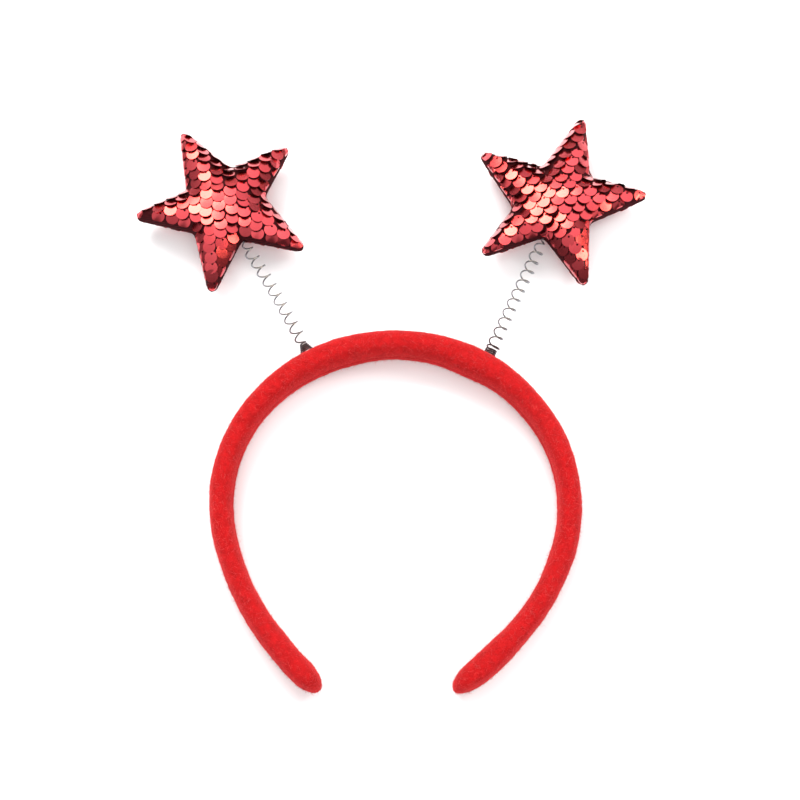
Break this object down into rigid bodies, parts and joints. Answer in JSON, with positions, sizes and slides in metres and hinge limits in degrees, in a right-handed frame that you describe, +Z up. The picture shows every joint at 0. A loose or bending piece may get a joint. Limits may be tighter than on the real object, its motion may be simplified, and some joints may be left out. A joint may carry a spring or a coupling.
{
  "type": "sprung-star headband",
  "caption": "Padded felt hoop headband with stuffed sequin stars that sway on open coil springs above the crown, shown lying flat.",
  "frame": {"origin": "on the table, under the middle of the whole outline", "axes": "+Z up from the table, +Y from the open end of the hoop to the crown, +X to the right as seen from above"},
  "size_m": [0.1988, 0.2246, 0.0176],
  "materials": {
    "felt": "matt needled felt with a short nap",
    "spring_steel": "drawn spring wire, close-wound end darkened",
    "sequin_cloth": "overlapping satin metallic sequins on dark red cloth"
  },
  "bodies": {
    "hoop": {"band": "felt", "left_spring": "spring_steel", "right_spring": "spring_steel"},
    "left_star": {"left_star": "sequin_cloth"},
    "right_star": {"right_star": "sequin_cloth"}
  },
  "joints": [
    {"name": "left_sway", "type": "hinge", "parent": "hoop", "child": "left_star", "pos_m": [-0.04164, 0.03415, 0.0082], "axis": [0, 0, 1], "range_deg": [-30, 30], "stiffness_Nm_per_rad": 0.0043, "deforming": ["left_spring"]},
    {"name": "right_sway", "type": "hinge", "parent": "hoop", "child": "right_star", "pos_m": [0.04509, 0.03376, 0.0082], "axis": [0, 0, 1], "range_deg": [-30, 30], "stiffness_Nm_per_rad": 0.0043, "deforming": ["right_spring"]}
  ]
}
